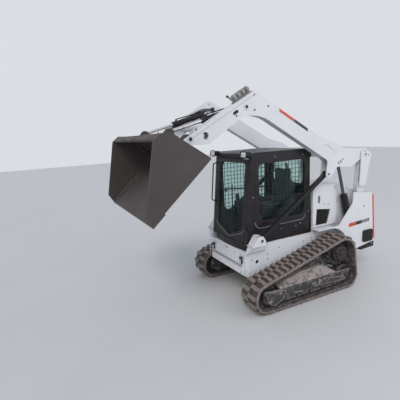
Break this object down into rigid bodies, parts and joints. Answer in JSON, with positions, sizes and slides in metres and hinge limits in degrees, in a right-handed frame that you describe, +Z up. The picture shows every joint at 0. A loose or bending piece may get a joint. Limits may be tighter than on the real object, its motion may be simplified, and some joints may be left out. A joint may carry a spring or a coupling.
{
  "type": "compact track loader",
  "caption": "Compact track loader on rubber tracks with a closed cab, a raised vertical-lift arm and a wide bucket tipped down to dump.",
  "frame": {"origin": "on the ground under the middle of the machine's box as it stands with its arms raised", "axes": "+Z up, the machine's front looks along -Y, its left side is +X"},
  "size_m": [1.727, 3.6559, 2.7572],
  "materials": {
    "white_paint": "gloss, dusty",
    "black_paint": "satin black",
    "red_paint": "gloss orange-red",
    "rubber": "matt, muddy",
    "hose_rubber": "satin black rubber",
    "dark_iron": "matt, muddy",
    "worn_steel": "worn and rusty",
    "chrome": "polished",
    "glass": "tinted clear",
    "seat_vinyl": "matt black vinyl"
  },
  "bodies": {
    "chassis": {"track_left": "rubber", "track_right": "rubber", "track_rollers": "dark_iron", "track_idlers": "dark_iron", "drive_sprockets": "dark_iron", "final_drives": "dark_iron", "track_frames": "dark_iron", "axle_tubes": "white_paint", "lower_frame": "white_paint", "engine_walls": "white_paint", "tower_plates": "white_paint", "engine_hood": "white_paint", "tail_panels": "white_paint", "engine_block": "dark_iron", "rear_bumper": "black_paint", "tail_lamps": "black_paint", "cab_frame": "black_paint", "cab_roof": "black_paint", "side_glass": "glass", "side_screen_left": "black_paint", "side_screen_right": "black_paint", "rear_glass": "glass", "door_hinges": "black_paint", "tailgate_hinges": "black_paint", "tower_grille": "black_paint", "work_lights": "black_paint", "control_brackets": "white_paint", "lift_mounts": "white_paint", "seat_base": "black_paint", "seat_cushion": "seat_vinyl", "seat_back": "seat_vinyl", "side_consoles": "black_paint", "joysticks": "black_paint"},
    "control_links": {"control_links": "black_paint"},
    "lift_arm": {"arm_left": "white_paint", "arm_right": "white_paint", "arm_couplers": "black_paint", "arm_hoses": "hose_rubber", "port_blocks": "black_paint", "cross_tubes": "white_paint"},
    "rear_links": {"rear_links": "white_paint"},
    "lift_barrels": {"lift_barrels": "black_paint"},
    "lift_rods": {"lift_rods": "chrome"},
    "tilt_barrels": {"tilt_barrels": "black_paint"},
    "tilt_rods": {"tilt_rods": "chrome"},
    "bucket": {"quick_coupler": "worn_steel", "bucket_shell": "worn_steel", "bucket_sides": "worn_steel", "cutting_edge": "worn_steel"},
    "front_door": {"front_door": "black_paint", "door_glass": "glass"},
    "tailgate": {"tailgate": "black_paint", "tailgate_trim": "red_paint"}
  },
  "joints": [
    {"name": "control_swing", "type": "hinge", "parent": "chassis", "child": "control_links", "pos_m": [0, -0.273, 0.878], "axis": [1, 0, 0], "range_deg": [-22.35, 10.17]},
    {"name": "lift", "type": "hinge", "parent": "control_links", "child": "lift_arm", "pos_m": [0, 0.843, 1.615], "axis": [-1, 0, 0], "range_deg": [-64.5, 29.2]},
    {"name": "rear_link_swing", "type": "hinge", "parent": "lift_arm", "child": "rear_links", "pos_m": [0, 1.54, 1.835], "axis": [1, 0, 0], "range_deg": [-42.02, 19.08]},
    {"name": "lift_barrel_swing", "type": "hinge", "parent": "chassis", "child": "lift_barrels", "pos_m": [0, 1.377, 0.655], "axis": [1, 0, 0], "range_deg": [-0.39, 0.74]},
    {"name": "lift_rod_slide", "type": "slide", "parent": "lift_barrels", "child": "lift_rods", "axis": [0, -0.2703, 0.9628], "range_m": [-0.3387, 0.1539]},
    {"name": "bucket_tilt", "type": "hinge", "parent": "lift_arm", "child": "bucket", "pos_m": [0, -1.189, 2.192], "axis": [-1, 0, 0], "range_deg": [-20, 119]},
    {"name": "tilt_barrel_swing", "type": "hinge", "parent": "lift_arm", "child": "tilt_barrels", "pos_m": [0, -0.462, 2.517], "axis": [1, 0, 0], "range_deg": [-0.5, 2.48]},
    {"name": "tilt_rod_slide", "type": "slide", "parent": "tilt_barrels", "child": "tilt_rods", "axis": [0, -0.9668, -0.2556], "range_m": [-0.3125, 0.0534]},
    {"name": "front_door_swing", "type": "hinge", "parent": "chassis", "child": "front_door", "pos_m": [0.384, -0.41826, 0.79081], "axis": [0, 0.0978, 0.9952], "range_deg": [0, 90]},
    {"name": "tailgate_swing", "type": "hinge", "parent": "chassis", "child": "tailgate", "pos_m": [-0.6163, 1.83315, 0.50339], "axis": [0, -0.0891, 0.996], "range_deg": [0, 95]}
  ],
  "couplings": [
    {"joint": "control_swing", "follows": "lift", "ratio": 0.345},
    {"joint": "rear_link_swing", "follows": "lift", "ratio": 0.65},
    {"joint": "lift_barrel_swing", "follows": "lift", "ratio": -0.01},
    {"joint": "lift_rod_slide", "follows": "lift", "m_per_rad": 0.3},
    {"joint": "tilt_barrel_swing", "follows": "bucket_tilt", "ratio": 0.02},
    {"joint": "tilt_rod_slide", "follows": "bucket_tilt", "m_per_rad": -0.15}
  ]
}
